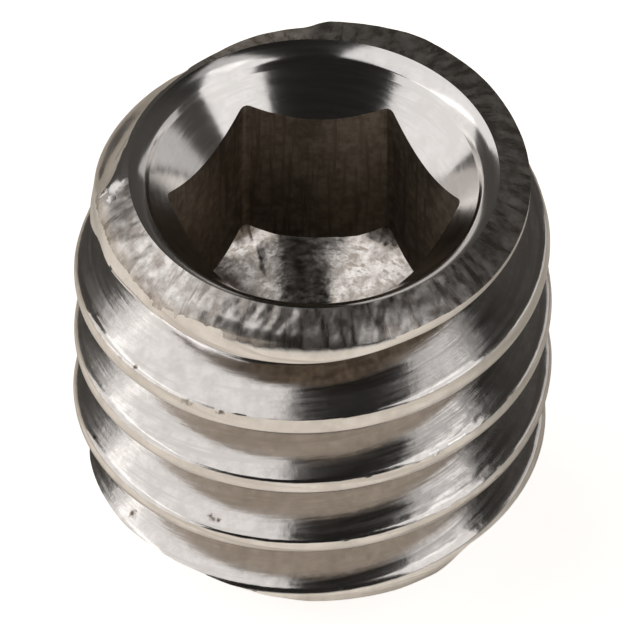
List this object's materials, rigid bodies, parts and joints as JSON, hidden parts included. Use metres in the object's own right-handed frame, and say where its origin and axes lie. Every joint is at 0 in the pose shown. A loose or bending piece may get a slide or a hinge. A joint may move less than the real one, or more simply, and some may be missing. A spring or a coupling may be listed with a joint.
{
  "type": "hexagon socket set screw",
  "caption": "Headless stainless grub set screw, threaded over its whole length, with a hexagon socket in one end and a cup point at the other, locking a collar or knob on its shaft.",
  "frame": {"origin": "centre of the rim of the point, on the surface that the screw stands on", "axes": "+Z along the screw's axis from the point towards the socket; X through two opposite corners of the hexagon; the picture looks along +Y from above"},
  "size_m": [0.004, 0.004, 0.004],
  "materials": {
    "steel": "bright rolled stainless steel"
  },
  "bodies": {
    "root": {"set_screw": "steel"}
  },
  "joints": []
}
